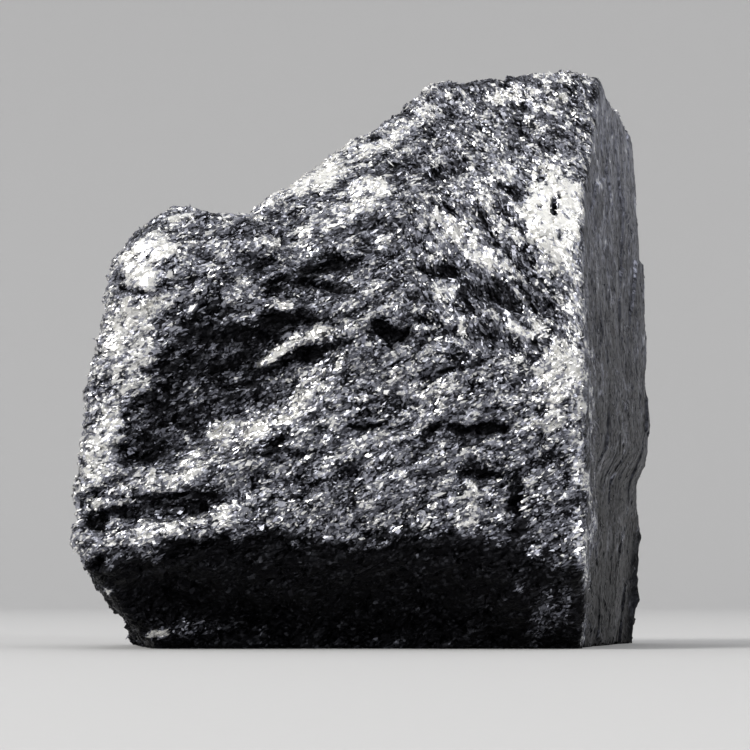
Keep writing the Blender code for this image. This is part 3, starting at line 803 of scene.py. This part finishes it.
def flake_piece(name, shapes):
    """One mesh of those flakes, each a closed solid."""
    count = len(shapes)
    mesh = bpy.data.meshes.new(name)
    faces = [(0, 1, 2, 3), (1, 0, 4), (2, 1, 4), (3, 2, 4), (0, 3, 4)]
    starts = np.arange(count)[:, None] * 5
    tops = (starts + np.array(faces[0])).tolist()
    sides = (starts[:, None] + np.array(faces[1:])[None]).reshape(-1, 3).tolist()
    mesh.from_pydata((shapes.reshape(-1, 3) * MM).tolist(), [], tops + sides)
    mesh.update()
    piece = bpy.data.objects.new(name, mesh)
    bpy.context.scene.collection.objects.link(piece)
    return piece


class NodeSheet:
    """A material's nodes, with short ways to add and join them."""

    def __init__(self, name):
        self.material = bpy.data.materials.new(name)
        self.material.use_nodes = True
        self.nodes = self.material.node_tree.nodes
        self.links = self.material.node_tree.links
        self.shader = self.nodes["Principled BSDF"]

    def put(self, target, value):
        """Join an output to an input, or set the input's own value."""
        if isinstance(value, bpy.types.NodeSocket):
            self.links.new(value, target)
        else:
            target.default_value = value

    def add(self, kind, **settings):
        """A node with those settings."""
        node = self.nodes.new(kind)
        for key, value in settings.items():
            setattr(node, key, value)
        return node

    def maths(self, operation, first, second=0.0, third=None, clamp=False):
        """A sum of two or three values."""
        node = self.add("ShaderNodeMath", operation=operation, use_clamp=clamp)
        self.put(node.inputs[0], first)
        self.put(node.inputs[1], second)
        if third is not None:
            self.put(node.inputs[2], third)
        return node.outputs[0]

    def vector(self, operation, first, second):
        """A sum of two vectors."""
        node = self.add("ShaderNodeVectorMath", operation=operation)
        self.put(node.inputs[0], first)
        if operation == "SCALE":
            self.put(node.inputs["Scale"], second)
        elif second is not None:
            self.put(node.inputs[1], second)
        return node.outputs[0]

    def attribute(self, name):
        """A number noted on the mesh."""
        return self.add("ShaderNodeAttribute", attribute_name=name).outputs["Fac"]

    def grains(self, points, size, tilt, stretch):
        """Irregular grains of that size in millimetres, stretched along the layers: their random colours."""
        place = self.add("ShaderNodeMapping", vector_type="TEXTURE")
        self.put(place.inputs["Vector"], points)
        place.inputs["Rotation"].default_value = (0.0, -tilt, 0.0)
        place.inputs["Scale"].default_value = (stretch, 1.0, 1.0)
        cells = self.add("ShaderNodeTexVoronoi", feature="F1")
        self.put(cells.inputs["Vector"], place.outputs[0])
        cells.inputs["Scale"].default_value = 1.0 / (size * MM)
        return cells.outputs["Color"]

    def layered_grains(self, points, streaks, size, rising, falling):
        """Grains that follow the layers, with their stretch where the layers rise and where they fall."""
        rising = self.grains(points, size, LAYER_TILT, rising)
        falling = self.grains(points, size, STREAK_TILT, falling)
        return self.mix(streaks, rising, falling)

    def split(self, colour):
        """The first channel of a colour."""
        node = self.add("ShaderNodeSeparateColor")
        self.put(node.inputs[0], colour)
        return node.outputs[0]

    def mix(self, share, first, second):
        """A blend of two colours."""
        node = self.add("ShaderNodeMix", data_type="RGBA")
        self.put(node.inputs[0], share)
        self.put(node.inputs[6], first)
        self.put(node.inputs[7], second)
        return node.outputs[2]

    def ramp(self, share, stops):
        """A colour ramp."""
        node = self.add("ShaderNodeValToRGB")
        self.put(node.inputs[0], share)
        ramp = node.color_ramp
        while len(ramp.elements) < len(stops):
            ramp.elements.new(0.5)
        for element, (position, colour) in zip(ramp.elements, stops):
            element.position = position
            element.color = (*colour, 1.0)
        return node.outputs[0]


def graphite_material(colours):
    """Grains and leaves of metallic grey, from near black to bright, each tilted its own way."""
    sheet = NodeSheet("graphite surface")
    points = sheet.add("ShaderNodeTexCoord").outputs["Object"]
    streaks = sheet.maths("GREATER_THAN", sheet.attribute("streaks"), 0.5)
    small = sheet.layered_grains(points, streaks, *SMALL_GRAINS)
    large = sheet.layered_grains(points, streaks, *LARGE_GRAINS)
    small_chance = sheet.split(small)
    large_chance = sheet.maths("MULTIPLY", sheet.split(large), 0.4)
    chance = sheet.maths("MULTIPLY_ADD", small_chance, 0.6, large_chance)
    spread = sheet.maths("MULTIPLY_ADD", sheet.attribute("calm"), -0.75, 1.15)
    # The polished patches also get a painted highlight: a lift of the middle tone
    middle = sheet.maths("MULTIPLY_ADD", sheet.attribute("polish_and_highlight"), 0.12, 0.42)
    # The noted gleam carries painted highlights, painted shade and painted light from above, besides the
    # graphite's own tone
    tone_with_painted_light = sheet.maths("MULTIPLY_ADD", sheet.maths("SUBTRACT", sheet.attribute("gleam"), 0.5), 1.2, middle)
    tone = sheet.maths("MULTIPLY_ADD", sheet.maths("SUBTRACT", chance, 0.5), spread, tone_with_painted_light, clamp=True)
    colour = sheet.ramp(tone, (
        (0.0, colours.dull),
        (0.25, [c * DARK_GREY for c in colours.grey]),
        (0.50, colours.grey),
        (0.75, [c * LIGHT_GREY for c in colours.grey]),
        (1.0, colours.bright),
    ))
    # Painted blue reflection on the smooth break
    cool = sheet.add("ShaderNodeMix", data_type="RGBA", blend_type="MULTIPLY")
    sheet.put(cool.inputs[0], sheet.attribute("calm"))
    sheet.put(cool.inputs[6], colour)
    cool.inputs[7].default_value = BREAK_PAINTED_REFLECTION
    sheet.put(sheet.shader.inputs["Base Color"], cool.outputs[2])
    sheet.shader.inputs["Metallic"].default_value = 1.0
    rough = sheet.maths("MULTIPLY_ADD", tone, -0.20, 0.52)
    sheet.put(sheet.shader.inputs["Roughness"], rough)
    tilt = sheet.vector("SUBTRACT", small, (0.5, 0.5, 0.5))
    lean = sheet.vector("SUBTRACT", large, (0.5, 0.5, 0.5))
    tilt = sheet.vector("SCALE", tilt, SMALL_GRAIN_TILT)
    lean = sheet.vector("SCALE", lean, LARGE_GRAIN_TILT)
    both = sheet.vector("ADD", tilt, lean)
    even = sheet.maths("MAXIMUM", sheet.attribute("calm"), sheet.attribute("polish_and_highlight"))
    both = sheet.vector("SCALE", both, sheet.maths("MULTIPLY_ADD", even, -0.84, 1.0))
    normal = sheet.add("ShaderNodeNewGeometry").outputs["Normal"]
    turned_normal = sheet.vector("NORMALIZE", sheet.vector("ADD", normal, both), None)
    sheet.put(sheet.shader.inputs["Normal"], turned_normal)
    return sheet.material


def flake_material(name, colour, roughness):
    """One tone of flake: a metallic leaf with a faint, streaky wear on it."""
    sheet = NodeSheet(name)
    points = sheet.add("ShaderNodeTexCoord").outputs["Object"]
    wear = sheet.add("ShaderNodeTexNoise")
    sheet.put(wear.inputs["Vector"], points)
    wear.inputs["Scale"].default_value = FLAKE_WEAR_SCALE
    dull = (*[c * 0.70 for c in colour], 1.0)
    bright = (*[min(c * 1.30, 1.0) for c in colour], 1.0)
    sheet.put(sheet.shader.inputs["Base Color"], sheet.mix(wear.outputs["Fac"], dull, bright))
    sheet.shader.inputs["Metallic"].default_value = 1.0
    rough = sheet.maths("MULTIPLY_ADD", wear.outputs["Fac"], 0.25, roughness - 0.12)
    sheet.put(sheet.shader.inputs["Roughness"], rough)
    return sheet.material


def fasten(piece):
    """Ride on the lump's body."""
    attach(piece, "root")


class SPECIMEN_OT_surface(Operator):
    """Build the flaky, broken surface of the lump"""

    bl_idname = "specimen.surface"
    bl_label = "Broken Surface"

    def execute(self, context):
        settings = context.scene.specimen_surface
        lump = copied_lump(settings)
        put_on_relief(lump, settings)
        thin_out(lump, settings.triangles)
        lump.data.materials.append(graphite_material(context.scene.specimen_colours))
        fasten(lump)
        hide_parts(LUMP)
        return {"FINISHED"}


class SPECIMEN_OT_flakes(Operator):
    """Strew the loose flakes on the broken surface, sorted into pieces by how bright they are"""

    bl_idname = "specimen.flakes"
    bl_label = "Flakes"

    def execute(self, context):
        settings = context.scene.specimen_flakes
        surface = bpy.data.objects.get(SURFACE)
        if surface is None:
            raise RuntimeError("build the broken surface first")
        rng = np.random.default_rng(FLAKE_SEED)
        places, facing, notes = scattered(surface.data, settings.count, rng)
        shapes = flake_shapes(places, facing, notes, settings, rng)
        chance = rng.uniform(-FLAKE_TONE_SPREAD, FLAKE_TONE_SPREAD, len(notes)) * (1.0 - 0.75 * notes[:, 2])
        # A flake takes the brightness noted under it, with its painted highlight and painted shade; on the
        # deepest painted shade it is darkened further
        tone = notes[:, 0] + chance + 0.12 * notes[:, 3]
        tone = np.where(notes[:, 0] < 0.08, tone * 0.5, tone)
        for name, low, high, colour, roughness in FLAKE_TONES:
            piece = flake_piece(name, shapes[(tone >= low) & (tone < high)][:MOST_FLAKES])
            piece.data.materials.append(flake_material(name.replace("_", " "), colour, roughness))
            fasten(piece)
        return {"FINISHED"}


def floor_material(colour):
    """Plain matt paper with a faint tooth."""
    sheet = NodeSheet("floor paper")
    points = sheet.add("ShaderNodeTexCoord").outputs["Object"]
    tooth = sheet.add("ShaderNodeTexNoise")
    sheet.put(tooth.inputs["Vector"], points)
    tooth.inputs["Scale"].default_value = PAPER_TOOTH_SCALE
    shade = sheet.mix(tooth.outputs["Fac"], (*[c * 0.97 for c in colour], 1.0), (*colour, 1.0))
    sheet.put(sheet.shader.inputs["Base Color"], shade)
    sheet.shader.inputs["Roughness"].default_value = 0.85
    return sheet.material


def soft_light(name, place, size, power, colour):
    """A square soft light that points at the middle of the lump."""
    light = bpy.data.lights.new(name, "AREA")
    light.size = size
    light.energy = power
    light.color = colour
    holder = bpy.data.objects.new(name, light)
    bpy.context.scene.collection.objects.link(holder)
    holder.location = place
    middle = (CAD_LOW + CAD_HIGH) / 2
    holder.rotation_euler = (middle - Vector(place)).to_track_quat("-Z", "Y").to_euler()


def swept_floor(settings):
    """A round floor that sweeps up into a wall, all round."""
    profile = [(settings.flat * step / FLOOR_STEPS, 0.0) for step in range(1, FLOOR_STEPS + 1)]
    for step in range(1, SWEEP_STEPS + 1):
        angle = math.radians(90.0 * step / SWEEP_STEPS)
        reach = settings.flat + settings.sweep * math.sin(angle)
        profile.append((reach, settings.sweep * (1.0 - math.cos(angle))))
    profile.append((settings.flat + settings.sweep, settings.wall))
    mesh = bpy.data.meshes.new("floor")
    shape = bmesh.new()
    middle = shape.verts.new((0.0, 0.0, 0.0))
    rings = []
    for reach, height in profile:
        turns = (math.tau * step / ROUND_STEPS for step in range(ROUND_STEPS))
        rings.append([shape.verts.new((reach * math.cos(a), reach * math.sin(a), height)) for a in turns])
    for index in range(ROUND_STEPS):
        shape.faces.new((middle, rings[0][index - 1], rings[0][index]))
        for inner, outer in itertools.pairwise(rings):
            shape.faces.new((inner[index - 1], outer[index - 1], outer[index], inner[index]))
    for face in shape.faces:
        face.smooth = True
    shape.to_mesh(mesh)
    shape.free()
    floor = bpy.data.objects.new("floor", mesh)
    bpy.context.scene.collection.objects.link(floor)
    return floor


def shade_room(tree, background):
    """A pale room that is as dim as the far floor at eye level, and brighter overhead."""
    way = tree.nodes.new("ShaderNodeTexCoord")
    split = tree.nodes.new("ShaderNodeSeparateXYZ")
    tree.links.new(way.outputs["Generated"], split.inputs[0])
    ramp = tree.nodes.new("ShaderNodeValToRGB")
    tree.links.new(split.outputs["Z"], ramp.inputs[0])
    ramp.color_ramp.elements[0].color = ROOM_LOW
    ramp.color_ramp.elements[1].color = ROOM_HIGH
    tree.links.new(ramp.outputs[0], background.inputs["Color"])
    background.inputs["Strength"].default_value = 1.0


class SPECIMEN_OT_studio(Operator):
    """Set up the floor, the soft light and the camera"""

    bl_idname = "specimen.studio"
    bl_label = "Studio"

    def execute(self, context):
        settings = context.scene.specimen_studio
        floor = swept_floor(settings)
        floor.data.materials.append(floor_material(settings.floor_colour))
        room = bpy.data.worlds.new("studio room")
        room.use_nodes = True
        background = room.node_tree.nodes["Background"]
        shade_room(room.node_tree, background)
        context.scene.world = room
        for light in LIGHTS:
            soft_light(*light)
        context.scene.view_settings.view_transform = "Standard"
        self.place_camera(context.scene, settings)
        return {"FINISHED"}

    def place_camera(self, scene, settings):
        """A low camera in front of the lump, tipped up a little."""
        camera = bpy.data.objects.new("camera", bpy.data.cameras.new("camera"))
        scene.collection.objects.link(camera)
        camera.data.lens = settings.lens
        camera.data.sensor_width = SENSOR_WIDTH
        camera.data.clip_start = CLIP_START
        camera.location = (CAMERA_ASIDE, FRONT * MM - settings.distance, settings.height)
        camera.rotation_euler = (math.radians(90.0 + CAMERA_TIP), 0.0, 0.0)
        scene.camera = camera


class SPECIMEN_PT_panel(Panel):
    """Sizes, colours and building steps of the graphite specimen"""

    bl_idname = "SPECIMEN_PT_panel"
    bl_label = "Graphite Specimen"
    bl_space_type = "VIEW_3D"
    bl_region_type = "UI"
    bl_category = "Graphite"

    def draw(self, context):
        for name, kind in GROUPS.items():
            box = self.layout.box()
            for setting in kind.__annotations__:
                box.prop(getattr(context.scene, name), setting)
        for operator in OPERATORS:
            self.layout.operator(operator.bl_idname)


OPERATORS = (SPECIMEN_OT_surface, SPECIMEN_OT_flakes, SPECIMEN_OT_studio)
GROUPS = {
    "specimen_surface": SurfaceSettings,
    "specimen_flakes": FlakeSettings,
    "specimen_colours": ColourSettings,
    "specimen_studio": StudioSettings,
}
CLASSES = (*GROUPS.values(), *OPERATORS, SPECIMEN_PT_panel)


def register():
    """Register the classes and hang the settings on the scene."""
    for cls in CLASSES:
        bpy.utils.register_class(cls)
    for name, group in GROUPS.items():
        setattr(bpy.types.Scene, name, PointerProperty(type=group))


def unregister():
    """Take the settings and the classes away again."""
    for name in GROUPS:
        delattr(bpy.types.Scene, name)
    for cls in reversed(CLASSES):
        bpy.utils.unregister_class(cls)


def main():
    """Build the specimen and its studio."""
    register()
    for operator in ("surface", "flakes", "studio"):
        getattr(bpy.ops.specimen, operator)()


if __name__ == "__main__":
    main()
